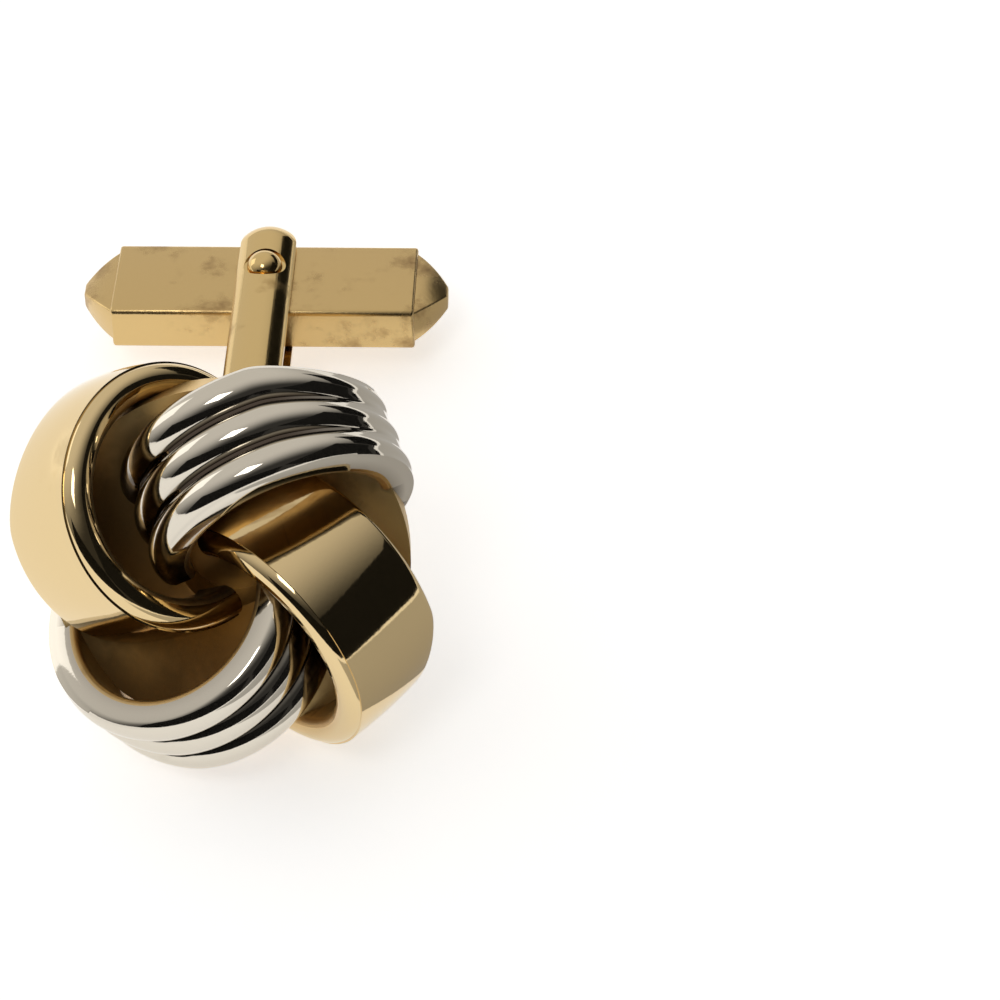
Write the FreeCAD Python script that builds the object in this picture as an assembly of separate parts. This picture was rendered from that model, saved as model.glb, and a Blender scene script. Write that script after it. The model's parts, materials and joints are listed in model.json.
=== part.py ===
# A two-tone love-knot cufflink: four interlaced straps on a back plate, a U-shaped arm
# and a swivelling toggle bar. It lies on a table with the face of the knot turned up.
import FreeCAD, Part
import math
import os

# Knot: four straps, each an open ring, set round the knot axis
STRAP_RADIUS = 5.5            # ring radius at the crown of a strap
STRAP_WIDTH = 5.0
STRAP_THICKNESS = 1.45
RING_OFFSET = 3.57            # ring centre from the knot axis
RING_BEARING = 55.8           # degrees, ring centre seen from the face
STRAP_HEADING = 31.2          # degrees, way that a strap runs over the face
STRAP_LEAN = 40.3             # degrees, ring plane off the knot axis
STRAP_INNER_ANGLE = 83.0      # degrees, crown to the end beside the eye
STRAP_OUTER_ANGLE = 196.0     # degrees, crown to the end behind the knot
TAPER_ANGLE = 24.0            # degrees, back edge trimmed where a strap goes under the next
TAPER_START = 2.7             # ring centre to the start of that trim
PLAIN_BEVEL = 0.4             # eased edges of a gold strap
PLAIN_CROWN = 0.14            # rise of a gold strap across its width
PLAIN_LAND = 2.6              # flat middle of a gold strap
RIB_COUNT = 3                 # ribs on a silver strap
RIB_CROWN = 0.27              # rise of a rib across its width
GROOVE_DEPTH = 0.5
GROOVE_WIDTH = 0.2            # between the tops of two ribs
RIB_END_ANGLE = 95.0          # degrees, crown to the end of the ribs

# Bent by hand: how far each strap sits off its even place, seen from the face
UPPER_SHIFT_X = -0.6
UPPER_SHIFT_Y = 0.5
RIGHT_SHIFT_X = -0.3
LOWER_SHIFT_X = 0.35
LEFT_SHIFT_Y = 0.4
LEFT_EXTRA_WIDTH = 0.3        # left strap is wider at its back edge

# Core that the straps are soldered round
CORE_INSET = 1.97             # outside of the rings to the waist of the core
CORE_WAIST = 1.0              # waist behind the ring centres
CORE_TOP = 1.6                # ring centres to the front of the core
CORE_TOP_DRAFT = 0.1          # front of the core narrower than its waist
CORE_FOOT_DRAFT = 1.0         # back of the core narrower than its waist
EYE_RADIUS = 2.0              # recess under the eye of the knot
EYE_DEPTH = 3.0
CORE_GAP = 0.08               # core to a strap, filled by solder

# Back plate
PLATE_RADIUS = 6.0
PLATE_THICKNESS = 1.0
PLATE_DEPTH = 3.8             # ring centres to the front of the plate
PLATE_BEVEL = 0.3

# Arm: half-round wire bent into a U
ARM_WIDTH = 2.45
ARM_THICKNESS = 1.3
ARM_FLANGE = 0.35             # straight edge of the half-round wire
ARM_FLAT_COUNT = 6            # flats that make its round side
ARM_REACH = 12.4              # centre of the bend to the pivot
ARM_LEAN = 20.0               # degrees, arm off the knot axis
ARM_FOOT = 0.45               # flat filed on the bend where it is soldered
ARM_RISE = 0.85               # arm above the middle of the plate
ARM_SIDE = 0.2                # arm to the left of it
ARM_END = 1.1                 # pivot to the start of the rounded end
ARM_GAP = 0.1                 # arm to bar, each side

# Pivot: a pin riveted over in two spot faces
PIN_RADIUS = 0.6
RIVET_RADIUS = 0.78
RIVET_RISE = 0.75
SPOT_RADIUS = 0.92
SPOT_DEPTH = 0.8
PIN_CLEARANCE = 0.03

# Toggle bar
BAR_LENGTH = 13.2             # sleeve without its end caps
BAR_HEIGHT = 2.1              # along the pin
BAR_DEPTH = 4.8               # along the arm
BAR_WALL = 0.4
BAR_EDGE_RADIUS = 0.28
CAP_LENGTH = 1.4
CAP_INSET = 0.26              # step between sleeve and cap
CAP_TIP_RADIUS = 0.35         # half width of the blunt tip
CAP_SPIGOT = 1.2
CAP_SWELL = 0.08              # facets bulge by this much past a straight slope

# Click mechanism inside the bar
CAM_HALF_WIDTH = 1.0
CAM_CORNER_RADIUS = 0.3
CAM_CLEARANCE = 0.03
SPRING_THICKNESS = 0.22
SPRING_END_GAP = 0.95         # spring end to the spigot of a cap
SPRING_CLEARANCE = 0.1        # spring edge to the flat walls
SPRING_SEAT_CLEARANCE = 0.02

OVERRUN = 1.0                 # cuts run past the faces by this much
FACET_SIZE = 0.05             # facets of the table test
ANGLE_STEP = 1e-6             # radians, end of the table test

STRAP_NAMES = ("silver_strap_upper", "gold_strap_right", "silver_strap_lower", "gold_strap_left")
STRAP_SHIFTS = ((UPPER_SHIFT_X, UPPER_SHIFT_Y), (RIGHT_SHIFT_X, 0), (LOWER_SHIFT_X, 0), (0, LEFT_SHIFT_Y))
O = FreeCAD.Vector()
X = FreeCAD.Vector(1, 0, 0)
Y = FreeCAD.Vector(0, 1, 0)
Z = FreeCAD.Vector(0, 0, 1)


def point(x, y, z):
    return FreeCAD.Vector(x, y, z)


def line(a, b):
    return Part.LineSegment(a, b).toShape()


def arc(a, b, c):
    return Part.Arc(a, b, c).toShape()


def face(edges):
    return Part.Face(Part.Wire(edges))


def slab(size_x, size_y, size_z, middle):
    corner = point(middle.x - size_x / 2, middle.y - size_y / 2, middle.z - size_z / 2)
    return Part.makeBox(size_x, size_y, size_z, corner)


# Straps. A section lies in the XZ plane, X outwards from the ring axis.
def extra_width(name):
    return LEFT_EXTRA_WIDTH if name == "gold_strap_left" else 0


def plain_section(extra):
    inner = STRAP_RADIUS - STRAP_THICKNESS
    shoulder = STRAP_RADIUS - PLAIN_CROWN
    front = STRAP_WIDTH / 2
    back = -front - extra
    corners = [point(STRAP_RADIUS, 0, PLAIN_LAND / 2), point(shoulder, 0, front - PLAIN_BEVEL)]
    corners += [point(shoulder - PLAIN_BEVEL, 0, front), point(inner, 0, front)]
    corners += [point(inner, 0, back), point(shoulder - PLAIN_BEVEL, 0, back)]
    corners += [point(shoulder, 0, back + PLAIN_BEVEL), point(STRAP_RADIUS, 0, -PLAIN_LAND / 2 - extra)]
    return Part.Face(Part.makePolygon(corners + corners[:1]))


def tail_section():
    inner = STRAP_RADIUS - STRAP_THICKNESS
    shoulder = STRAP_RADIUS - RIB_CROWN
    half = STRAP_WIDTH / 2
    corners = [point(inner, 0, -half), point(shoulder, 0, -half)]
    corners += [point(shoulder, 0, half), point(inner, 0, half)]
    return Part.Face(Part.makePolygon(corners + corners[:1]))


def ribbed_section():
    inner = STRAP_RADIUS - STRAP_THICKNESS
    half = STRAP_WIDTH / 2
    groove = STRAP_RADIUS - GROOVE_DEPTH
    shoulder = STRAP_RADIUS - RIB_CROWN
    pitch = STRAP_WIDTH / RIB_COUNT
    foot = GROOVE_WIDTH / 2
    edges = [line(point(inner, 0, half), point(inner, 0, -half))]
    edges.append(line(point(inner, 0, -half), point(groove, 0, -half)))
    for rib in range(RIB_COUNT):
        start = -half + rib * pitch
        end = start + pitch
        rise = point(shoulder, 0, start + foot)
        fall = point(shoulder, 0, end - foot)
        edges.append(line(point(groove, 0, start), rise))
        edges.append(arc(rise, point(STRAP_RADIUS, 0, start + pitch / 2), fall))
        edges.append(line(fall, point(groove, 0, end)))
    edges.append(line(point(groove, 0, half), point(inner, 0, half)))
    return face(edges)


def band(section, first, last):
    section.rotate(O, Z, 90 - last)
    return section.revolve(O, Z, last - first)


def gold_band(extra):
    return band(plain_section(extra), -STRAP_INNER_ANGLE, STRAP_OUTER_ANGLE)


def silver_band():
    ribs = band(ribbed_section(), -STRAP_INNER_ANGLE, RIB_END_ANGLE)
    return ribs.fuse(band(tail_section(), RIB_END_ANGLE, STRAP_OUTER_ANGLE))


def on_the_knot(ring, name):
    index = STRAP_NAMES.index(name)
    ring.rotate(O, X, 90 - STRAP_LEAN)
    ring.rotate(O, Z, STRAP_HEADING)
    bearing = math.radians(RING_BEARING)
    ring.translate(point(RING_OFFSET * math.cos(bearing), RING_OFFSET * math.sin(bearing), 0))
    ring.rotate(O, Z, -index * 360 / len(STRAP_NAMES))
    ring.translate(point(*STRAP_SHIFTS[index], 0))
    return ring


def strap(name):
    ring = gold_band(extra_width(name)) if name.startswith("gold") else silver_band()
    reach = RING_OFFSET + STRAP_RADIUS + STRAP_WIDTH
    rear = point(TAPER_START, 0, -STRAP_WIDTH / 2 - extra_width(name))
    trim = slab(2 * reach, 2 * reach, reach, rear - Z * (reach / 2))
    trim.rotate(rear, Y, -TAPER_ANGLE)
    below = Part.makeCylinder(reach, reach, point(0, 0, -PLATE_DEPTH - reach))
    return on_the_knot(ring.cut(trim), name).cut(below)


def strap_seat(name):
    inner = STRAP_RADIUS - STRAP_THICKNESS - CORE_GAP
    height = STRAP_WIDTH + extra_width(name) + 2 * CORE_GAP
    base = point(0, 0, STRAP_WIDTH / 2 + CORE_GAP - height)
    end_gap = math.degrees(CORE_GAP / inner)
    sweep = STRAP_OUTER_ANGLE + STRAP_INNER_ANGLE + 2 * end_gap
    seat = Part.makeCylinder(STRAP_RADIUS + CORE_GAP, height, base, Z, sweep)
    seat = seat.cut(Part.makeCylinder(inner, height, base))
    seat.rotate(O, Z, 90 - STRAP_OUTER_ANGLE - end_gap)
    return on_the_knot(seat, name)


def knot_core():
    waist = RING_OFFSET + STRAP_RADIUS - CORE_INSET
    corners = [point(0, 0, -PLATE_DEPTH), point(waist - CORE_FOOT_DRAFT, 0, -PLATE_DEPTH)]
    corners += [point(waist, 0, -CORE_WAIST), point(waist - CORE_TOP_DRAFT, 0, CORE_TOP)]
    corners.append(point(0, 0, CORE_TOP))
    core = Part.Face(Part.makePolygon(corners + corners[:1])).revolve(O, Z, 360)
    floor = point(0, 0, CORE_TOP - EYE_DEPTH)
    core = core.cut(Part.makeCylinder(EYE_RADIUS, EYE_DEPTH + OVERRUN, floor))
    for name in STRAP_NAMES:
        core = core.cut(strap_seat(name))
    return core


def back_plate():
    rear = -PLATE_DEPTH - PLATE_THICKNESS
    plate = Part.makeCylinder(PLATE_RADIUS, PLATE_THICKNESS, point(0, 0, rear))
    rim = [edge for edge in plate.Edges if abs(edge.BoundBox.ZMax - rear) < PLATE_BEVEL]
    return plate.makeChamfer(PLATE_BEVEL, rim)


# Arm, pin and bar are made with the bend at the origin and the pivot up the Z axis,
# then leaned over onto the back plate.
def arm_gap():
    return BAR_HEIGHT / 2 + ARM_GAP


def arm_section(whole):
    low = arm_gap()
    half = ARM_WIDTH / 2
    crown = low + ARM_THICKNESS
    rise = ARM_THICKNESS - ARM_FLANGE
    radius = (half ** 2 + rise ** 2) / (2 * rise)
    sweep = math.asin(half / radius)
    flats = ARM_FLAT_COUNT // 2
    corners = [point(-half if whole else 0, low, 0), point(half, low, 0)]
    for index in range(flats, -flats - 1 if whole else -1, -1):
        angle = sweep * index / flats
        corners.append(point(radius * math.sin(angle), crown - radius * (1 - math.cos(angle)), 0))
    return Part.Face(Part.makePolygon(corners + corners[:1]))


def u_arm():
    tip = Z * (ARM_REACH + ARM_END)
    leg = arm_section(True).extrude(tip)
    end = arm_section(False)
    end.translate(tip)
    leg = leg.fuse(end.revolve(tip, Y, -180))
    other = leg.copy()
    other.rotate(O, Z, 180)
    bend = arm_section(True).revolve(O, X, -180)
    arm = bend.fuse([leg, other]).removeSplitter()
    crown = arm_gap() + ARM_THICKNESS
    pivot = Z * ARM_REACH
    arm = arm.cut(Part.makeCylinder(PIN_RADIUS, 2 * (crown + OVERRUN), pivot - Y * (crown + OVERRUN), Y))
    for side in (1, -1):
        floor = pivot + Y * side * (crown - SPOT_DEPTH)
        arm = arm.cut(Part.makeCylinder(SPOT_RADIUS, SPOT_DEPTH + OVERRUN, floor, Y * side))
    return arm


def pivot_pin():
    floor = arm_gap() + ARM_THICKNESS - SPOT_DEPTH
    pivot = Z * ARM_REACH
    pin = Part.makeCylinder(PIN_RADIUS, 2 * floor, pivot - Y * floor, Y)
    radius = (RIVET_RADIUS ** 2 + RIVET_RISE ** 2) / (2 * RIVET_RISE)
    half_angle = math.asin(RIVET_RADIUS / radius) / 2
    drop = radius * (1 - math.cos(half_angle))
    shoulder = point(radius * math.sin(half_angle), floor + RIVET_RISE - drop, 0)
    edges = [line(point(0, floor, 0), point(RIVET_RADIUS, floor, 0))]
    edges.append(arc(point(RIVET_RADIUS, floor, 0), shoulder, point(0, floor + RIVET_RISE, 0)))
    edges.append(line(point(0, floor + RIVET_RISE, 0), point(0, floor, 0)))
    head = face(edges).revolve(O, Y, 360)
    tail = head.copy()
    tail.rotate(O, Z, 180)
    for dome in (head, tail):
        dome.translate(pivot)
        pin = pin.fuse(dome)
    return pin.removeSplitter()


def bar_sleeve():
    middle = Z * ARM_REACH
    tube = slab(BAR_LENGTH, BAR_HEIGHT, BAR_DEPTH, middle)
    long_edges = [edge for edge in tube.Edges if abs(edge.tangentAt(edge.FirstParameter).x) > 0.5]
    tube = tube.makeFillet(BAR_EDGE_RADIUS, long_edges)
    bore = slab(BAR_LENGTH + OVERRUN, BAR_HEIGHT - 2 * BAR_WALL, BAR_DEPTH - 2 * BAR_WALL, middle)
    hole = Part.makeCylinder(PIN_RADIUS + PIN_CLEARANCE, BAR_HEIGHT + OVERRUN,
                             middle - Y * (BAR_HEIGHT + OVERRUN) / 2, Y)
    return tube.cut(bore).cut(hole)


def cap_profile(half, way):
    root = X * (BAR_LENGTH / 2)
    tip = root + X * CAP_LENGTH
    rim = way * half
    nose = way * CAP_TIP_RADIUS
    slope = (tip + nose) - (root + rim)
    bulge = X.cross(way).cross(slope)
    bulge.normalize()
    edges = [line(root - rim, root + rim)]
    for side, start, end in ((1, root + rim, tip + nose), (-1, tip - nose, root - rim)):
        swell = X * bulge.dot(X) + way * (side * bulge.dot(way))
        edges.append(arc(start, (start + end) / 2 + swell * CAP_SWELL, end))
    edges.insert(2, line(tip + nose, tip - nose))
    return face(edges)


def bar_end_cap(side):
    half_height = BAR_HEIGHT / 2 - CAP_INSET
    half_depth = BAR_DEPTH / 2 - CAP_INSET
    plan = cap_profile(half_depth, Z)
    plan.translate(Y * -BAR_HEIGHT)
    profile = cap_profile(half_height, Y)
    profile.translate(Z * -BAR_DEPTH)
    cap = plan.extrude(Y * 2 * BAR_HEIGHT).common(profile.extrude(Z * 2 * BAR_DEPTH))
    spigot = slab(CAP_SPIGOT, BAR_HEIGHT - 2 * BAR_WALL, BAR_DEPTH - 2 * BAR_WALL,
                  X * (BAR_LENGTH - CAP_SPIGOT) / 2)
    cap = cap.fuse(spigot)
    if side < 0:
        cap.rotate(O, Z, 180)
    cap.translate(Z * ARM_REACH)
    return cap


def detent_cam():
    height = BAR_HEIGHT - 2 * BAR_WALL - 2 * CAM_CLEARANCE
    block = slab(2 * CAM_HALF_WIDTH, height, 2 * CAM_HALF_WIDTH, O)
    corners = [edge for edge in block.Edges if abs(edge.tangentAt(edge.FirstParameter).y) > 0.5]
    block = block.makeFillet(CAM_CORNER_RADIUS, corners)
    block = block.cut(Part.makeCylinder(PIN_RADIUS, height + OVERRUN, Y * -(height + OVERRUN) / 2, Y))
    block.translate(Z * ARM_REACH)
    return block


def leaf_spring():
    width = BAR_HEIGHT - 2 * BAR_WALL - 2 * SPRING_CLEARANCE
    low = CAM_HALF_WIDTH
    seat = BAR_DEPTH / 2 - BAR_WALL - SPRING_SEAT_CLEARANCE
    high = seat - SPRING_THICKNESS
    start = point(0, -width / 2, 0)
    lift = Z * SPRING_THICKNESS
    half_span = BAR_LENGTH / 2 - CAP_SPIGOT - SPRING_END_GAP
    ends = [point(-half_span, 0, high) + start, point(half_span, 0, high) + start]
    dip = point(0, 0, low) + start
    edges = [arc(ends[0], dip, ends[1]), line(ends[1], ends[1] + lift)]
    edges.append(arc(ends[1] + lift, dip + lift, ends[0] + lift))
    edges.append(line(ends[0] + lift, ends[0]))
    leaf = face(edges).extrude(Y * width)
    leaf.translate(Z * ARM_REACH)
    return leaf


def lean_onto_plate(solid):
    bend_radius = arm_gap() + ARM_THICKNESS
    solid.rotate(O, X, 180 + ARM_LEAN)
    rear = -PLATE_DEPTH - PLATE_THICKNESS
    solid.translate(point(-ARM_SIDE, ARM_RISE, rear - bend_radius + ARM_FOOT))
    return solid


def filed_foot(arm):
    reach = ARM_REACH + ARM_WIDTH
    return arm.cut(Part.makeCylinder(reach, reach, point(0, 0, -PLATE_DEPTH - PLATE_THICKNESS)))


# Laid on a table: turned about X until the knot and the tip of the arm are level
def low_point(cloud, turn):
    sine = math.sin(turn)
    cosine = math.cos(turn)
    return min(vertex.y * sine + vertex.z * cosine for vertex in cloud)


def lying_turn(knot_solids, arm):
    knot_cloud = [vertex for solid in knot_solids for vertex in solid.tessellate(FACET_SIZE)[0]]
    arm_cloud = arm.tessellate(FACET_SIZE)[0]
    low = 0.0
    high = math.pi / 2
    while high - low > ANGLE_STEP:
        turn = (low + high) / 2
        if low_point(knot_cloud, turn) < low_point(arm_cloud, turn):
            high = turn
        else:
            low = turn
    return math.degrees(low)


parts = {}
for name in STRAP_NAMES:
    parts[name] = strap(name)
parts["knot_core"] = knot_core()
parts["back_plate"] = back_plate()
parts["u_arm"] = filed_foot(lean_onto_plate(u_arm()))
parts["pivot_pin"] = lean_onto_plate(pivot_pin())
parts["detent_cam"] = lean_onto_plate(detent_cam())
parts["leaf_spring"] = lean_onto_plate(leaf_spring())
parts["bar_sleeve"] = lean_onto_plate(bar_sleeve())
parts["bar_end_cap_left"] = lean_onto_plate(bar_end_cap(-1))
parts["bar_end_cap_right"] = lean_onto_plate(bar_end_cap(1))

turn = lying_turn([parts[name] for name in STRAP_NAMES] + [parts["back_plate"]], parts["u_arm"])
for solid in parts.values():
    solid.rotate(O, X, turn)
box = Part.makeCompound(list(parts.values())).optimalBoundingBox(True)
shift = point(-box.Center.x, -box.Center.y, -box.ZMin)
os.makedirs("parts", exist_ok=True)
for name, solid in parts.items():
    solid.translate(shift)
    solid.exportStep("parts/" + name + ".step")
    print(name, "valid", solid.isValid(), "solids", len(solid.Solids), "volume", round(solid.Volume, 3))
pivot = lean_onto_plate(Part.Vertex(Z * ARM_REACH))
pivot.rotate(O, X, turn)
pivot.translate(shift)
print("turn", round(turn, 4), "shift", shift, "pivot", pivot.Point)
print("pin axis angle from vertical", round(90 - turn - ARM_LEAN, 4))
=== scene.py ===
# Two-tone love-knot cufflink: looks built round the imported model
import json
from math import asin, atan2, cos, degrees, pi, radians, sin, sqrt, tan

import bmesh
import bpy
from mathutils import Matrix, Vector
from mathutils.bvhtree import BVHTree


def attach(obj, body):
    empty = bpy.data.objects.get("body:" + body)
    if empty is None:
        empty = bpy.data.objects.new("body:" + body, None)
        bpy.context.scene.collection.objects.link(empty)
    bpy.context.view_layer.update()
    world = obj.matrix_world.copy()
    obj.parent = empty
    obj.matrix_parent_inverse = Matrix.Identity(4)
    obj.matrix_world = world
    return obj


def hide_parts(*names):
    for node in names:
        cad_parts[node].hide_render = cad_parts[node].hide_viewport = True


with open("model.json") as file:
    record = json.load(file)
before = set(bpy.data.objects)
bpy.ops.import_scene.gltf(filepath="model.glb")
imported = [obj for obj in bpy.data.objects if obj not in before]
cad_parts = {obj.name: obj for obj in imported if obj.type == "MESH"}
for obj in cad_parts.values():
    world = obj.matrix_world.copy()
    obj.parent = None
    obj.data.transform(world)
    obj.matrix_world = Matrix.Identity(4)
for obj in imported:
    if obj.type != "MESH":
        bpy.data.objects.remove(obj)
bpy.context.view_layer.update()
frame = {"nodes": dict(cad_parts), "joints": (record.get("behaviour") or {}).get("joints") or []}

scene = bpy.context.scene
scene.view_settings.view_transform = "Standard"
joint = frame["joints"][0]
print("frame loaded:", len(frame["nodes"]), "nodes")

# sizes that place the pieces, in metres and degrees; the arm's wire is finer than its solid
plateSet = {"radius": 0.0060, "thickness": 0.0010, "front": -0.0038, "bevel": 0.0003,
            "bevelSteps": 4, "steps": 128}
armSet = {"width": 0.00245, "thickness": 0.0008, "flange": 0.00025, "reach": 0.01293, "end": 0.0020,
          "lean": 20.0, "foot": 0.00045, "rise": 0.00067, "side": 0.0002, "gap": 0.0001,
          "roundSteps": 24, "tipSteps": 48, "bendSteps": 64}
barSet = {"length": 0.0132, "height": 0.0021, "depth": 0.0048, "wall": 0.0004, "edge": 0.00028,
          "edgeSteps": 5, "rim": 0.00012, "rimSteps": 3, "inset": 0.00026, "capLength": 0.0014,
          "capTip": 0.00035, "capSteps": 14, "swell": 0.00008, "ridge": 0.00009, "ridgeSteps": 3,
          "spigot": 0.0012}
pinSet = {"radius": 0.0006, "head": 0.00078, "rise": 0.0007, "spot": 0.00092, "spotDepth": 0.0003,
          "play": 0.00003, "steps": 64, "domeSteps": 16}

pivot = Vector(joint["pos_m"])
pinAxis = Vector(joint["axis"])
armLow = barSet["height"] / 2 + armSet["gap"]
armCrown = armLow + armSet["thickness"]
armLean = radians(armSet["lean"])
plateRear = plateSet["front"] - plateSet["thickness"]
bendInKnot = Vector((-armSet["side"], armSet["rise"], plateRear - armCrown + armSet["foot"]))
pivotInKnot = bendInKnot + armSet["reach"] * Vector((0, sin(armLean), -cos(armLean)))
knotTurn = pi / 2 - atan2(pinAxis.y, pinAxis.z) - armLean
turnX = Matrix.Rotation(knotTurn, 4, "X")
knotPlace = Matrix.Translation(pivot - turnX @ pivotInKnot) @ turnX
armPlace = Matrix.Translation(pivot) @ Matrix.Rotation(pi + armLean + knotTurn, 4, "X")

# materials: one wear group feeds all the metals
wearSet = {"stainDetail": 7, "stainRoughness": 0.62, "stainEdge": 0.22, "grainDetail": 4,
           "bumpHeight": 0.00002}


def addNode(tree, kind, place=(0, 0), **values):
    node = tree.nodes.new(kind)
    node.location = place
    for name, value in values.items():
        setattr(node, name, value)
    return node


def makeWearGroup():
    group = bpy.data.node_groups.new("metalWear", "ShaderNodeTree")
    for name in ("Stain Scale", "Stain Cover", "Grain Scale"):
        group.interface.new_socket(name=name, in_out="INPUT", socket_type="NodeSocketFloat")
    for name in ("Stain", "Grain"):
        group.interface.new_socket(name=name, in_out="OUTPUT", socket_type="NodeSocketFloat")
    ins = addNode(group, "NodeGroupInput", (-900, 0))
    outs = addNode(group, "NodeGroupOutput", (500, 0))
    place = addNode(group, "ShaderNodeTexCoord", (-900, -250))
    stain = addNode(group, "ShaderNodeTexNoise", (-600, 100))
    stain.inputs["Detail"].default_value = wearSet["stainDetail"]
    stain.inputs["Roughness"].default_value = wearSet["stainRoughness"]
    grain = addNode(group, "ShaderNodeTexNoise", (-600, -250))
    grain.inputs["Detail"].default_value = wearSet["grainDetail"]
    less = addNode(group, "ShaderNodeMath", (-350, 200), operation="SUBTRACT")
    less.inputs[0].default_value = 1.0
    more = addNode(group, "ShaderNodeMath", (-350, 0), operation="ADD")
    more.inputs[1].default_value = wearSet["stainEdge"]
    ramp = addNode(group, "ShaderNodeMapRange", (-100, 100), interpolation_type="SMOOTHSTEP")
    link = group.links.new
    link(place.outputs["Object"], stain.inputs["Vector"])
    link(place.outputs["Object"], grain.inputs["Vector"])
    link(ins.outputs["Stain Scale"], stain.inputs["Scale"])
    link(ins.outputs["Grain Scale"], grain.inputs["Scale"])
    link(ins.outputs["Stain Cover"], less.inputs[1])
    link(less.outputs[0], more.inputs[0])
    link(stain.outputs["Fac"], ramp.inputs["Value"])
    link(less.outputs[0], ramp.inputs["From Min"])
    link(more.outputs[0], ramp.inputs["From Max"])
    link(ramp.outputs["Result"], outs.inputs["Stain"])
    link(grain.outputs["Fac"], outs.inputs["Grain"])
    return group


wearGroup = makeWearGroup()


def makeMetal(name, look):
    material = bpy.data.materials.new(name)
    material.use_nodes = True
    tree = material.node_tree
    shader = tree.nodes["Principled BSDF"]
    shader.inputs["Metallic"].default_value = 1
    wear = addNode(tree, "ShaderNodeGroup", (-900, 0), node_tree=wearGroup)
    wear.inputs["Stain Scale"].default_value = look["stainScale"]
    wear.inputs["Stain Cover"].default_value = look["stainCover"]
    wear.inputs["Grain Scale"].default_value = look["grainScale"]
    tint = addNode(tree, "ShaderNodeMix", (-600, 200), data_type="RGBA")
    tint.inputs["A"].default_value = (*look["colour"], 1)
    tint.inputs["B"].default_value = (*look["stain"], 1)
    gloss = addNode(tree, "ShaderNodeMapRange", (-600, -50))
    gloss.inputs["To Min"].default_value = look["roughness"][0]
    gloss.inputs["To Max"].default_value = look["roughness"][1]
    bump = addNode(tree, "ShaderNodeBump", (-300, -300))
    bump.inputs["Strength"].default_value = look["bump"]
    bump.inputs["Distance"].default_value = wearSet["bumpHeight"]
    link = tree.links.new
    link(wear.outputs["Stain"], tint.inputs["Factor"])
    link(wear.outputs["Stain"], gloss.inputs["Value"])
    link(wear.outputs["Grain"], bump.inputs["Height"])
    link(gloss.outputs["Result"], shader.inputs["Roughness"])
    link(bump.outputs["Normal"], shader.inputs["Normal"])
    colour = tint.outputs["Result"]
    if "shadeDirt" in look:    # painted shade and old polish, where the mesh's own attribute puts it
        shadeAndDirt = addNode(tree, "ShaderNodeAttribute", (-900, 400), attribute_name="shadeAndDirt")
        shadeDirt = addNode(tree, "ShaderNodeMix", (-300, 300), data_type="RGBA")
        shadeDirt.inputs["B"].default_value = (*look["shadeDirt"], 1)
        link(shadeAndDirt.outputs["Fac"], shadeDirt.inputs["Factor"])
        link(colour, shadeDirt.inputs["A"])
        colour = shadeDirt.outputs["Result"]
    link(colour, shader.inputs["Base Color"])
    return material


# each look's dark colour for the mesh attribute is painted shade with old polish; the silver's is near
# black, for its grooves and gaps
goldLook = {"colour": (0.74, 0.57, 0.31), "stain": (0.56, 0.38, 0.16), "stainScale": 260.0,
            "stainCover": 0.36, "roughness": (0.06, 0.16), "grainScale": 5000.0, "bump": 0.06,
            "shadeDirt": (0.45, 0.31, 0.14)}
silverLook = {"colour": (0.68, 0.63, 0.54), "stain": (0.52, 0.47, 0.38), "stainScale": 320.0,
              "stainCover": 0.38, "roughness": (0.06, 0.15), "grainScale": 5000.0, "bump": 0.06,
              "shadeDirt": (0.09, 0.07, 0.055)}
satinLook = {"colour": (0.66, 0.47, 0.21), "stain": (0.34, 0.21, 0.09), "stainScale": 380.0,
             "stainCover": 0.5, "roughness": (0.24, 0.42), "grainScale": 7000.0, "bump": 0.25}
wornLook = {"colour": (0.72, 0.52, 0.23), "stain": (0.42, 0.27, 0.10), "stainScale": 420.0,
            "stainCover": 0.44, "roughness": (0.11, 0.26), "grainScale": 7000.0, "bump": 0.06}
innerLook = {"colour": (0.64, 0.46, 0.22), "stain": (0.36, 0.24, 0.11), "stainScale": 450.0,
             "stainCover": 0.42, "roughness": (0.38, 0.55), "grainScale": 6000.0, "bump": 0.2,
             "shadeDirt": (0.30, 0.20, 0.10)}
agedLook = {"colour": (0.88, 0.63, 0.28), "stain": (0.44, 0.29, 0.12), "stainScale": 420.0,
            "stainCover": 0.42, "roughness": (0.42, 0.58), "grainScale": 6000.0, "bump": 0.2,
            "shadeDirt": (0.58, 0.40, 0.17)}
steelLook = {"colour": (0.52, 0.52, 0.53), "stain": (0.36, 0.35, 0.34), "stainScale": 500.0,
             "stainCover": 0.4, "roughness": (0.25, 0.4), "grainScale": 6000.0, "bump": 0.15}
polishedGold = makeMetal("polishedGold", goldLook)
polishedSilver = makeMetal("polishedSilver", silverLook)
satinGold = makeMetal("satinGold", satinLook)
wornGold = makeMetal("wornGold", wornLook)
innerGold = makeMetal("innerGold", innerLook)
agedGold = makeMetal("agedGold", agedLook)
springSteel = makeMetal("springSteel", steelLook)
print("materials made")

# shared modelling steps, with the limits for merging, cutting, shading and picking
meshSet = {"merge": 3e-7, "onPlane": 1e-8, "samePlace": 1e-7, "sharp": 38.0, "edgedSharp": 30.0,
           "cornerAngle": 30.0, "endOn": 0.9}


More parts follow.
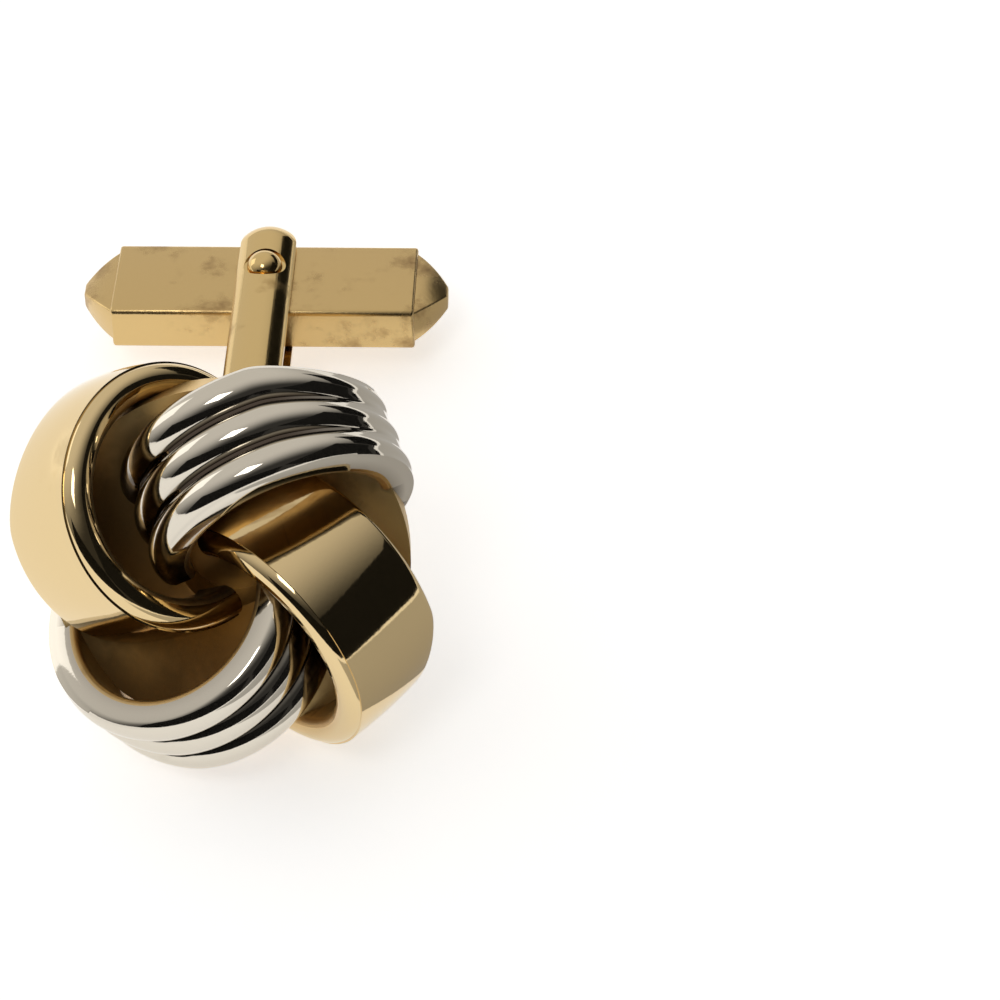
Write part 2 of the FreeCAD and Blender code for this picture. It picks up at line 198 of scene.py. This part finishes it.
def addPiece(node, bm, place, body, material, sharp=meshSet["sharp"]):
    bmesh.ops.remove_doubles(bm, verts=bm.verts, dist=meshSet["merge"])
    bmesh.ops.transform(bm, matrix=place, verts=bm.verts)
    bmesh.ops.recalc_face_normals(bm, faces=bm.faces)
    if bm.calc_volume(signed=True) < 0:
        bmesh.ops.reverse_faces(bm, faces=bm.faces)
    mesh = bpy.data.meshes.new(node + "_look")
    bm.to_mesh(mesh)
    bm.free()
    piece = bpy.data.objects.new(node + "_look", mesh)
    scene.collection.objects.link(piece)
    mesh.materials.append(material)
    smoothPiece(piece, sharp)
    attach(piece, body)
    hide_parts(node)
    return piece


def smoothPiece(piece, sharp):
    piece.data.shade_smooth()
    piece.data.set_sharp_from_angle(angle=radians(sharp))


def cutAway(piece, cutters, sharp=meshSet["sharp"]):
    for cutter in cutters:
        cut = piece.modifiers.new("cut", "BOOLEAN")
        cut.operation = "DIFFERENCE"
        cut.solver = "MANIFOLD"
        cut.object = cutter
    bpy.context.view_layer.update()
    shaped = piece.evaluated_get(bpy.context.evaluated_depsgraph_get())
    old = piece.data
    piece.data = bpy.data.meshes.new_from_object(shaped)
    piece.modifiers.clear()
    piece.data.name = old.name
    bpy.data.meshes.remove(old)
    smoothPiece(piece, sharp)


def pinCutter(radius, low, high):    # a round bar along the pin
    bm = bmesh.new()
    along = Matrix.Translation((0, (low + high) / 2, 0)) @ Matrix.Rotation(pi / 2, 4, "X")
    bmesh.ops.create_cone(bm, cap_ends=True, segments=pinSet["steps"], radius1=radius, radius2=radius,
                          depth=high - low, matrix=armPlace @ along)
    mesh = bpy.data.meshes.new("cutter")
    bm.to_mesh(mesh)
    bm.free()
    cutter = bpy.data.objects.new("cutter", mesh)
    scene.collection.objects.link(cutter)
    return cutter


def dropCutters(cutters):
    for cutter in cutters:
        mesh = cutter.data
        bpy.data.objects.remove(cutter)
        bpy.data.meshes.remove(mesh)


def roundCorners(bm, verts, size, steps):
    bmesh.ops.bevel(bm, geom=verts, offset=size, affect="VERTICES", segments=steps, profile=0.5,
                    material=-1)


def bevelEdges(bm, edges, size, steps):
    bmesh.ops.bevel(bm, geom=edges, offset=size, affect="EDGES", segments=steps, profile=0.5,
                    material=-1)


def isCorner(edge):
    return len(edge.link_faces) == 2 and edge.calc_face_angle(0) > radians(meshSet["cornerAngle"])


def vertsAt(bm, place):
    return [vert for vert in bm.verts if (vert.co - Vector(place)).length < meshSet["samePlace"]]


def arcRadius(half, rise):    # from half of the chord and the rise of the arc above it
    return (half * half + rise * rise) / (2 * rise)


def easedShare(share):    # smooth step from 0 to 1
    share = min(max(share, 0), 1)
    return share * share * (3 - 2 * share)


def whole(bm):
    return bm.verts[:] + bm.edges[:] + bm.faces[:]


def cutFlat(bm, height, way):    # cut across the knot axis, keep the side that way points to, close it
    bmesh.ops.bisect_plane(bm, geom=whole(bm), dist=meshSet["onPlane"], plane_co=(0, 0, height),
                           plane_no=(0, 0, way), clear_inner=True)
    bmesh.ops.holes_fill(bm, edges=[edge for edge in bm.edges if edge.is_boundary], sides=0)


def pushFace(bm, face, move, keep=False):    # extrudes one face and gives the new one
    made = bmesh.ops.extrude_face_region(bm, geom=[face])["geom"]
    if not keep:
        bmesh.ops.delete(bm, geom=[face], context="FACES_ONLY")
    verts = [item for item in made if isinstance(item, bmesh.types.BMVert)]
    bmesh.ops.translate(bm, vec=move, verts=verts)
    return next(item for item in made if isinstance(item, bmesh.types.BMFace))


# straps: a section with x outwards from the ring axis and z across, spun round the ring axis
strapSet = {"radius": 0.0055, "width": 0.0050, "thickness": 0.00145, "offset": 0.00357, "bearing": 55.8,
            "heading": 31.2, "lean": 40.3, "innerAngle": 83.0, "outerAngle": 196.0, "steps": 230,
            "taperAngle": 24.0, "taperStart": 0.0027, "taperEase": 0.0005, "darkStart": 0.5,
            "insideShadeDirt": 0.45, "goldLine": 0.0044}
strapShifts = {"silver_strap_upper": (-0.0006, 0.0005), "gold_strap_right": (-0.0003, 0),
               "silver_strap_lower": (0.00035, 0), "gold_strap_left": (0, 0.0004)}
goldSet = {"crown": 0.00008, "land": 0.0022, "edge": 0.00028, "inner": 0.0003, "edgeSteps": 6,
           "bead": 0.00062, "leftBead": 0.00120, "rightBead": 0.00045, "leftExtra": 0.0003,
           "crease": 0.00007, "beadSteps": 20, "roundShare": 0.45, "roundSteps": 8}
ribSet = {"count": 3, "depth": 0.00050, "foot": 0.00006, "steps": 16, "inner": 0.0003, "innerSteps": 5,
          "fadeStart": 30.0, "fadeEnd": 92.0, "fadeLevel": 0.2, "fadeEdge": 0.00012, "wrapAngle": 120.0,
          "grooveShadeStart": 0.55}


def goldSection(bm, inset, extra):
    outer = strapSet["radius"]
    inner = outer - strapSet["thickness"]
    shoulder = outer - goldSet["crown"]
    front = strapSet["width"] / 2
    land = goldSet["land"] / 2
    wall = front - inset
    frontLand = wall - front + land
    lip = shoulder - goldSet["crease"]
    chord = lip - inner
    rise = min(goldSet["bead"], inset)
    beadRadius = arcRadius(chord / 2, rise)
    middle = ((lip + inner) / 2, 0, wall + rise - beadRadius)
    bead = bm.verts.new((lip, 0, wall))    # rounded front wall, a crease below the face
    bmesh.ops.spin(bm, geom=[bead], cent=middle, axis=(0, -1, 0), angle=2 * asin(chord / 2 / beadRadius),
                   steps=goldSet["beadSteps"])
    loop = list(bm.verts)
    rear = -front - extra
    corners = [(inner, 0, rear), (shoulder, 0, rear), (outer, 0, -land - extra), (outer, 0, frontLand),
               (shoulder, 0, wall)]
    loop += [bm.verts.new(corner) for corner in corners]
    bm.faces.new(loop)
    rounding = (frontLand + land + extra) * goldSet["roundShare"]
    roundCorners(bm, [loop[-3], loop[-2]], rounding, goldSet["roundSteps"])
    roundCorners(bm, vertsAt(bm, corners[1]), goldSet["edge"], goldSet["edgeSteps"])
    roundCorners(bm, vertsAt(bm, corners[0]), goldSet["inner"], goldSet["edgeSteps"])


def silverSection(bm):
    outer = strapSet["radius"]
    inner = outer - strapSet["thickness"]
    half = strapSet["width"] / 2
    pitch = strapSet["width"] / ribSet["count"]
    groove = outer - ribSet["depth"]
    chord = pitch - 2 * ribSet["foot"]
    ribRadius = arcRadius(chord / 2, ribSet["depth"])
    loop = [bm.verts.new((inner, 0, -half))]
    for rib in range(ribSet["count"]):
        start = rib * pitch - half
        foot = bm.verts.new((groove, 0, start + ribSet["foot"]))
        before = set(bm.verts)
        bmesh.ops.spin(bm, geom=[foot], cent=(outer - ribRadius, 0, start + pitch / 2), axis=(0, -1, 0),
                       angle=2 * asin(chord / 2 / ribRadius), steps=ribSet["steps"])
        loop += [foot] + [vert for vert in bm.verts if vert not in before]
    loop.append(bm.verts.new((inner, 0, half)))
    bm.faces.new(loop)
    roundCorners(bm, [loop[0], loop[-1]], ribSet["inner"], ribSet["innerSteps"])


def fadeRibs(bm, shadeAndDirt):    # the grooves run out towards the inner end
    level = strapSet["radius"] - ribSet["depth"] * ribSet["fadeLevel"]
    middle = strapSet["radius"] - strapSet["thickness"] / 2
    edge = strapSet["width"] / 2 - ribSet["fadeEdge"]
    wrap = ribSet["wrapAngle"]
    for vert in bm.verts:
        radius = vert.co.xy.length
        fromCrown = 90 - degrees(atan2(vert.co.y, vert.co.x))
        angle = (fromCrown + wrap) % 360 - wrap
        share = easedShare((angle - ribSet["fadeStart"]) / (ribSet["fadeEnd"] - ribSet["fadeStart"]))
        if middle < radius < level and abs(vert.co.z) < edge:
            deep = (strapSet["radius"] - radius) / ribSet["depth"]
            vert.co.xy *= 1 + share * (level / radius - 1)
            # groove bottoms get painted shade with some tarnish, fading out with the grooves
            vert[shadeAndDirt] = (1 - share) * max(deep - ribSet["grooveShadeStart"], 0) / (1 - ribSet["grooveShadeStart"])


def darkenInside(bm, shadeAndDirt):    # painted shade and old polish on the inner side of a strap
    outer = strapSet["radius"]
    for vert in bm.verts:
        share = (outer - vert.co.xy.length) / strapSet["thickness"]
        share = (share - strapSet["darkStart"]) / (1 - strapSet["darkStart"])
        vert[shadeAndDirt] = max(vert[shadeAndDirt], strapSet["insideShadeDirt"] * easedShare(share))


def taperStrap(bm, width):    # narrower where it dives under the next strap
    half = strapSet["width"] / 2
    slope = tan(radians(strapSet["taperAngle"]))
    for vert in bm.verts:
        past = max(vert.co.x - strapSet["taperStart"] + strapSet["taperEase"], 0)
        trim = past * past / (past + 2 * strapSet["taperEase"]) * slope
        vert.co.z = half - (half - vert.co.z) * (1 - trim / width)


def strapPlace(node, quarter):    # from the strap's own ring to the knot
    bearing = radians(strapSet["bearing"])
    place = Matrix.Translation((*strapShifts[node], 0)) @ Matrix.Rotation(radians(-90 * quarter), 4, "Z")
    place = place @ Matrix.Translation(strapSet["offset"] * Vector((cos(bearing), sin(bearing), 0)))
    place = place @ Matrix.Rotation(radians(strapSet["heading"]), 4, "Z")
    return place @ Matrix.Rotation(radians(90 - strapSet["lean"]), 4, "X")


def strapPiece(node, quarter):
    ribbed = node.startswith("silver")
    left = node == "gold_strap_left"
    extra = goldSet["leftExtra"] if left else 0
    bm = bmesh.new()
    if ribbed:
        silverSection(bm)
    else:
        goldSection(bm, goldSet["leftBead" if left else "rightBead"], extra)
    bmesh.ops.rotate(bm, verts=bm.verts, cent=(0, 0, 0),
                     matrix=Matrix.Rotation(radians(90 - strapSet["outerAngle"]), 3, "Z"))
    bmesh.ops.spin(bm, geom=whole(bm), cent=(0, 0, 0), axis=(0, 0, 1), steps=strapSet["steps"],
                   angle=radians(strapSet["innerAngle"] + strapSet["outerAngle"]))
    # this attribute holds painted shade with old polish, darker in grooves, on the inner side and where
    # parts close in
    shadeAndDirt = bm.verts.layers.float.new("shadeAndDirt")
    if ribbed:
        fadeRibs(bm, shadeAndDirt)
    for face in bm.faces:    # the inner side is plain gold plate, not polished
        face.material_index = int(face.calc_center_median().xy.length < strapSet["goldLine"])
    darkenInside(bm, shadeAndDirt)
    taperStrap(bm, strapSet["width"] + extra)
    bmesh.ops.transform(bm, matrix=strapPlace(node, quarter), verts=bm.verts)
    cutFlat(bm, plateSet["front"], 1)
    metal, slot = (polishedSilver, "silver_plate") if ribbed else (polishedGold, "gold_plate")
    piece = addPiece(node, bm, knotPlace, "knot", metal)
    piece.data.materials.append(innerGold)
    return piece


straps = [strapPiece(node, quarter) for quarter, node in enumerate(strapShifts)]    # clockwise
print("straps spun:", len(straps))

# core and back plate: profiles spun round the knot axis
coreSet = {"waistRadius": 0.0072, "waist": -0.0010, "top": 0.0006, "topRadius": 0.0073,
           "footRadius": 0.0061, "eyeRadius": 0.0020, "eyeDepth": 0.0020, "steps": 96, "rings": 12,
           "shift": (-0.00012, 0.00012, 0)}


def spinProfile(points, steps):
    bm = bmesh.new()
    verts = [bm.verts.new((radius, 0, height)) for radius, height in points]
    for first, second in zip(verts, verts[1:]):
        bm.edges.new((first, second))
    bmesh.ops.spin(bm, geom=bm.verts[:] + bm.edges[:], cent=(0, 0, 0), axis=(0, 0, 1), angle=2 * pi,
                   steps=steps, use_merge=True)
    bmesh.ops.remove_doubles(bm, verts=bm.verts, dist=meshSet["merge"])
    return bm


def corePiece():
    top, eye, count = coreSet["top"], coreSet["eyeRadius"], coreSet["rings"]
    eyeFloor = top - coreSet["eyeDepth"]
    ringStep = (coreSet["topRadius"] - eye) / count
    points = [(0, eyeFloor), (eye, eyeFloor)]
    points += [(eye + ringStep * ring, top) for ring in range(count + 1)]
    points += [(coreSet["waistRadius"], coreSet["waist"]), (coreSet["footRadius"], plateSet["front"])]
    bm = spinProfile(points + [(0, plateSet["front"])], coreSet["steps"])
    bmesh.ops.translate(bm, vec=coreSet["shift"], verts=bm.verts)
    piece = addPiece("knot_core", bm, knotPlace, "knot", agedGold)
    cutAway(piece, straps)
    piece.data.attributes.new("shadeAndDirt", "FLOAT", "POINT")
    return piece


def platePiece():
    front, rear, radius = plateSet["front"], plateRear, plateSet["radius"]
    bm = spinProfile([(0, front), (radius, front), (radius, rear), (0, rear)], plateSet["steps"])
    rims = [edge for edge in bm.edges if isCorner(edge)]
    bevelEdges(bm, rims, plateSet["bevel"], plateSet["bevelSteps"])
    addPiece("back_plate", bm, knotPlace, "knot", polishedGold)


core = corePiece()
platePiece()
print("core cut round the straps, plate turned")

# painted shade and old polish where a cloth does not reach: rays from each point count how open it is,
# and the less open, the darker
shadeDirtSet = {"rays": 20, "reach": 0.0050, "lift": 0.00002, "dark": 0.22, "openShare": 0.50}


def rayFan(count):    # even directions over the half sphere round +Z
    turn = pi * (3 - sqrt(5))    # golden angle
    heights = [(ray + 0.5) / count for ray in range(count)]
    return [Vector((sqrt(1 - h * h) * cos(turn * ray), sqrt(1 - h * h) * sin(turn * ray), h))
            for ray, h in enumerate(heights)]


def paintShadeAndDirt(pieces):
    joined = bmesh.new()
    for piece in pieces:
        joined.from_mesh(piece.data)
    tree = BVHTree.FromBMesh(joined)
    joined.free()
    fan = rayFan(shadeDirtSet["rays"])
    for piece in pieces:
        shadeAndDirt = piece.data.attributes["shadeAndDirt"]
        for vert, shadeDirt in zip(piece.data.vertices, shadeAndDirt.data):
            turned = vert.normal.to_track_quat("Z", "Y").to_matrix()
            start = vert.co + vert.normal * shadeDirtSet["lift"]
            hits = [tree.ray_cast(start, turned @ way, shadeDirtSet["reach"])[0] for way in fan]
            clear = sum(hit is None for hit in hits) / shadeDirtSet["rays"]
            share = (shadeDirtSet["openShare"] - clear) / (shadeDirtSet["openShare"] - shadeDirtSet["dark"])
            shadeDirt.value = max(shadeDirt.value, easedShare(share))


# points that the straps and core close in are painted darker, as shade with old polish
paintShadeAndDirt(straps + [core])
print("old polish settled")


# arm: half-round section run down one leg, round the bend and up the other
def armPiece():
    bm = bmesh.new()
    half = armSet["width"] / 2
    radius = arcRadius(half, armSet["thickness"] - armSet["flange"])
    end = armSet["end"]
    shoulder = bm.verts.new((half, armLow + armSet["flange"], end))
    bmesh.ops.spin(bm, geom=[shoulder], cent=(0, armCrown - radius, end), axis=(0, 0, 1),
                   angle=2 * asin(half / radius), steps=armSet["roundSteps"])
    loop = list(bm.verts) + [bm.verts.new((x, armLow, end)) for x in (-half, 0, half)]
    section = bm.faces.new(loop)
    tips = [edge for edge in section.edges if min(v.co.x for v in edge.verts) > -meshSet["onPlane"]]
    for side in (1, -1):    # rounded ends of the two legs
        copy = bmesh.ops.duplicate(bm, geom=tips + list({v for edge in tips for v in edge.verts}))["geom"]
        if side < 0:
            verts = [item for item in copy if isinstance(item, bmesh.types.BMVert)]
            bmesh.ops.scale(bm, vec=(1, -1, 1), verts=verts)
        bmesh.ops.spin(bm, geom=copy, cent=(0, 0, end), axis=(0, 1, 0), angle=-pi,
                       steps=armSet["tipSteps"])
    leg = end + armSet["reach"]
    down = pushFace(bm, section, (0, 0, -leg))
    bend = bmesh.ops.spin(bm, geom=[down] + down.edges[:] + down.verts[:], cent=(0, 0, -armSet["reach"]),
                          axis=(-1, 0, 0), angle=pi, steps=armSet["bendSteps"])["geom_last"]
    around = next(item for item in bend if isinstance(item, bmesh.types.BMFace))
    tip = pushFace(bm, around, (0, 0, leg))
    bmesh.ops.delete(bm, geom=[tip], context="FACES_ONLY")
    bmesh.ops.remove_doubles(bm, verts=bm.verts, dist=meshSet["merge"])
    bmesh.ops.transform(bm, matrix=knotPlace.inverted() @ armPlace, verts=bm.verts)
    cutFlat(bm, plateRear, -1)    # foot filed flat on the plate
    piece = addPiece("u_arm", bm, knotPlace, "knot", wornGold, sharp=meshSet["edgedSharp"])
    far = armCrown + armSet["thickness"]
    floor = armCrown - pinSet["spotDepth"]
    cutters = [pinCutter(pinSet["spot"], floor, far), pinCutter(pinSet["spot"], -far, -floor),
               pinCutter(pinSet["radius"], -far, far)]
    cutAway(piece, cutters, meshSet["edgedSharp"])
    dropCutters(cutters)


armPiece()
print("arm bent")


# pin with two riveted heads
def pinPiece():
    floor = armCrown - pinSet["spotDepth"]
    top = floor + pinSet["rise"]
    domeRadius = arcRadius(pinSet["head"], pinSet["rise"])
    bm = bmesh.new()
    crown = bm.verts.new((0, top, 0))
    bmesh.ops.spin(bm, geom=[crown], cent=(0, top - domeRadius, 0), axis=(0, 0, -1),
                   angle=asin(min(pinSet["head"] / domeRadius, 1)), steps=pinSet["domeSteps"])
    bm.verts.ensure_lookup_table()
    chain = [bm.verts[-1]] + [bm.verts.new((pinSet["radius"], height, 0)) for height in (floor, 0)]
    for first, second in zip(chain, chain[1:]):
        bm.edges.new((first, second))
    bmesh.ops.spin(bm, geom=bm.verts[:] + bm.edges[:], cent=(0, 0, 0), axis=(0, 1, 0), angle=2 * pi,
                   steps=pinSet["steps"], use_merge=True)
    bmesh.ops.mirror(bm, geom=whole(bm), merge_dist=meshSet["merge"], axis="Y")
    addPiece("pivot_pin", bm, armPlace, "knot", wornGold)


pinPiece()
print("pin riveted")


# bar: drawn tube with a hole for the pin, and two faceted end caps
def isEndOn(face):    # looks along the bar
    return abs(face.normal.x) > meshSet["endOn"]


def isOuterRim(edge):    # between an end of the tube and its outside
    if len(edge.link_faces) != 2:
        return False
    endOn = [isEndOn(face) for face in edge.link_faces]
    side = edge.link_faces[0 if endOn[1] else 1]
    return endOn[0] != endOn[1] and side.normal.dot(side.calc_center_median()) > 0


def sleevePiece():
    bm = bmesh.new()
    size = (barSet["length"], barSet["height"], barSet["depth"], 1)
    bmesh.ops.create_cube(bm, size=1, matrix=Matrix.Diagonal(size))
    half = barSet["length"] / 2
    along = [edge for edge in bm.edges if abs(edge.verts[0].co.x - edge.verts[1].co.x) > half]
    bevelEdges(bm, along, barSet["edge"], barSet["edgeSteps"])
    ends = [face for face in bm.faces if isEndOn(face)]
    bmesh.ops.delete(bm, geom=ends, context="FACES_ONLY")
    bmesh.ops.recalc_face_normals(bm, faces=bm.faces)
    bmesh.ops.solidify(bm, geom=bm.faces[:], thickness=barSet["wall"])
    bm.normal_update()
    rims = [edge for edge in bm.edges if isOuterRim(edge)]
    bevelEdges(bm, rims, barSet["rim"], barSet["rimSteps"])
    piece = addPiece("bar_sleeve", bm, armPlace, "bar", satinGold, sharp=meshSet["edgedSharp"])
    cutters = [pinCutter(pinSet["radius"] + pinSet["play"], -barSet["height"], barSet["height"])]
    cutAway(piece, cutters, meshSet["edgedSharp"])
    dropCutters(cutters)


def capHalf(half, along):    # half width of a cap at a distance from its root, on an arc
    slope = Vector((barSet["capLength"], barSet["capTip"] - half))
    outward = Vector((-slope.y, slope.x)).normalized()
    swellRadius = arcRadius(slope.length / 2, barSet["swell"])
    centre = Vector((0, half)) + slope / 2 + outward * (barSet["swell"] - swellRadius)
    return centre.y + sqrt(swellRadius ** 2 - (along - centre.x) ** 2)


def capPiece(node, turn):
    bm = bmesh.new()
    root = barSet["length"] / 2
    high = barSet["height"] / 2 - barSet["inset"]
    deep = barSet["depth"] / 2 - barSet["inset"]
    corners = [(root, y * high, z * deep) for y, z in ((-1, -1), (1, -1), (1, 1), (-1, 1))]
    last = bm.faces.new([bm.verts.new(corner) for corner in corners])
    size = Vector((high, deep))
    for step in range(1, barSet["capSteps"] + 1):
        along = barSet["capLength"] * step / barSet["capSteps"]
        last = pushFace(bm, last, (barSet["capLength"] / barSet["capSteps"], 0, 0), keep=step == 1)
        newSize = Vector((capHalf(high, along), capHalf(deep, along)))
        bmesh.ops.scale(bm, vec=(1, newSize.x / size.x, newSize.y / size.y), verts=last.verts[:])
        size = newSize
    bm.normal_update()
    rear = root + meshSet["samePlace"]
    ridges = [edge for edge in bm.edges if isCorner(edge) and max(v.co.x for v in edge.verts) > rear]
    bevelEdges(bm, ridges, barSet["ridge"], barSet["ridgeSteps"])
    back = [face for face in bm.faces if face.calc_center_median().x < rear]
    bmesh.ops.inset_region(bm, faces=back, thickness=barSet["wall"] - barSet["inset"],
                           use_even_offset=True)
    pushFace(bm, back[0], (-barSet["spigot"], 0, 0))
    place = armPlace @ Matrix.Rotation(radians(turn), 4, "Z")
    addPiece(node, bm, place, "bar", satinGold, sharp=meshSet["edgedSharp"])


sleevePiece()
capPiece("bar_end_cap_right", 0)
capPiece("bar_end_cap_left", 180)
for node in ("detent_cam", "leaf_spring"):    # sealed inside the bar
    frame["nodes"][node].data.materials.clear()
    frame["nodes"][node].data.materials.append(springSteel)
print("bar made")

# white table and soft light that is brightest at the left rear
stageSet = {"floorSize": 1.5, "floorGlow": 0.58, "skyDark": 0.04, "skyBright": 0.74, "skyStart": -0.1,
            "skyEnd": 0.85, "skyWay": (-0.45, 0.58, 0.68), "skyColour": (1.0, 0.97, 0.92)}
tableLook = {"grey": 0.9, "roughness": 0.8}


def stagePlane(name, half, place, material):
    bm = bmesh.new()
    bmesh.ops.create_grid(bm, x_segments=1, y_segments=1, size=1,
                          matrix=place @ Matrix.Diagonal((*half, 1, 1)))
    mesh = bpy.data.meshes.new(name)
    bm.to_mesh(mesh)
    bm.free()
    mesh.materials.append(material)
    plane = bpy.data.objects.new(name, mesh)
    scene.collection.objects.link(plane)
    return plane


def plainMaterial(name, look):
    material = bpy.data.materials.new(name)
    material.use_nodes = True
    shader = material.node_tree.nodes["Principled BSDF"]
    shader.inputs["Base Color"].default_value = (look["grey"], look["grey"], look["grey"], 1)
    shader.inputs["Roughness"].default_value = look["roughness"]
    shader.inputs["Specular IOR Level"].default_value = 0.0
    return material


def seenDirectly(tree, names):    # 1 for the named kinds of ray
    rays = addNode(tree, "ShaderNodeLightPath", (-900, -300))
    value = rays.outputs[names[0]]
    for name in names[1:]:
        most = addNode(tree, "ShaderNodeMath", (-600, -300), operation="MAXIMUM")
        tree.links.new(value, most.inputs[0])
        tree.links.new(rays.outputs[name], most.inputs[1])
        value = most.outputs[0]
    return value


def makeTable():
    material = plainMaterial("tableWhite", tableLook)
    tree = material.node_tree
    glow = addNode(tree, "ShaderNodeEmission", (0, -300))
    both = addNode(tree, "ShaderNodeAddShader", (300, 0))
    strength = addNode(tree, "ShaderNodeMath", (-300, -300), operation="MULTIPLY")
    strength.inputs[1].default_value = stageSet["floorGlow"]
    seen = seenDirectly(tree, ("Is Camera Ray", "Is Glossy Ray", "Is Transmission Ray"))
    tree.links.new(seen, strength.inputs[0])
    tree.links.new(strength.outputs[0], glow.inputs["Strength"])
    tree.links.new(tree.nodes["Principled BSDF"].outputs[0], both.inputs[0])
    tree.links.new(glow.outputs[0], both.inputs[1])
    tree.links.new(both.outputs[0], tree.nodes["Material Output"].inputs["Surface"])
    return material


def makeSky():
    world = bpy.data.worlds.new("studio")
    world.use_nodes = True
    tree = world.node_tree
    shader = tree.nodes["Background"]
    shader.inputs["Color"].default_value = (*stageSet["skyColour"], 1)
    way = addNode(tree, "ShaderNodeTexCoord", (-900, 0))
    along = addNode(tree, "ShaderNodeVectorMath", (-700, 0), operation="DOT_PRODUCT")
    along.inputs[1].default_value = Vector(stageSet["skyWay"]).normalized()
    strength = addNode(tree, "ShaderNodeMapRange", (-500, 0), interpolation_type="SMOOTHSTEP")
    strength.inputs["From Min"].default_value = stageSet["skyStart"]
    strength.inputs["From Max"].default_value = stageSet["skyEnd"]
    strength.inputs["To Min"].default_value = stageSet["skyDark"]
    strength.inputs["To Max"].default_value = stageSet["skyBright"]
    white = addNode(tree, "ShaderNodeMath", (-250, 0), operation="MAXIMUM")    # plain white to the camera
    tree.links.new(way.outputs["Generated"], along.inputs[0])
    tree.links.new(along.outputs["Value"], strength.inputs["Value"])
    tree.links.new(strength.outputs["Result"], white.inputs[0])
    tree.links.new(seenDirectly(tree, ("Is Camera Ray",)), white.inputs[1])
    tree.links.new(white.outputs[0], shader.inputs["Strength"])
    return world


stagePlane("table_top", (stageSet["floorSize"], stageSet["floorSize"]), Matrix.Identity(4), makeTable())
scene.world = makeSky()

# camera at the photo's angle
cameraSet = {"location": (0.016600, -0.106205, 0.132908), "aim": (0.010925, -0.004794, 0.008693),
             "roll": -1.97, "lens": 144.0, "sensor": 36.0, "clip": 0.01}
cameraData = bpy.data.cameras.new("camera")
cameraData.lens = cameraSet["lens"]
cameraData.sensor_width = cameraSet["sensor"]
cameraData.clip_start = cameraSet["clip"]
camera = bpy.data.objects.new("camera", cameraData)
scene.collection.objects.link(camera)
roll = radians(cameraSet["roll"])
back = (Vector(cameraSet["location"]) - Vector(cameraSet["aim"])).normalized()
level = Vector((0, 0, 1)).cross(back).normalized()
right = cos(roll) * level + sin(roll) * back.cross(level)
turned = Matrix((right, back.cross(right), back)).transposed().to_4x4()
camera.matrix_world = Matrix.Translation(cameraSet["location"]) @ turned
scene.camera = camera


def wayTo(bearing, height):    # bearing 0 towards the camera side, 90 to the right
    flat = cos(radians(height))
    return Vector((flat * sin(radians(bearing)), -flat * cos(radians(bearing)), sin(radians(height))))


def facing(bearing, height, distance, roll=0):    # a place round the part, -Z towards it
    way = wayTo(bearing, height)
    turned = way.to_track_quat("Z", "Y").to_matrix().to_4x4()
    return Matrix.Translation(way * distance) @ turned @ Matrix.Rotation(radians(roll), 4, "Z")


# dark flags, and a card that is a painted floor shadow, all seen in the metal only: bearing, height,
# distance, roll and half sizes
flagSet = {"right_flag": (72.0, 21.0, 0.30, 12.0, (0.20, 0.105)),
           "rear_flag": (135.0, 13.0, 0.32, 0.0, (0.13, 0.07)),
           "front_flag": (-12.0, 16.0, 0.30, 0.0, (0.24, 0.085))}
flagLook = {"grey": 0.02, "roughness": 0.9}
floorShadowSet = {"middle": (0.0880, 0.0, 0.0004), "half": (0.079, 0.080)}    # painted shadow of the part, lies on the table at the right
floorShadowLook = {"grey": 0.90, "roughness": 0.9}
flagBlack = plainMaterial("flagBlack", flagLook)
floorShadowGrey = plainMaterial("floorShadowGrey", floorShadowLook)
flags = [stagePlane(name, half, facing(*place), flagBlack) for name, (*place, half) in flagSet.items()]
# the card paints the part's own shadow on the table, darker than the glowing table, seen in the metal
# only
flags.append(stagePlane("painted_floor_shadow", floorShadowSet["half"], Matrix.Translation(floorShadowSet["middle"]), floorShadowGrey))
for flag in flags:
    flag.visible_camera = False
    flag.visible_diffuse = False
    flag.visible_shadow = False

# lamps: bearing, height, distance, size and power
lampSet = {"window": (-114.0, 16.0, 0.40, 0.20, 0.10), "top": (-25.0, 62.0, 0.40, 0.12, 0.15)}
for name, (*place, size, power) in lampSet.items():
    lampData = bpy.data.lights.new(name, "AREA")
    lampData.energy = power
    lampData.size = size
    lamp = bpy.data.objects.new(name, lampData)
    lamp.matrix_world = facing(*place)
    scene.collection.objects.link(lamp)
print("stage lit")
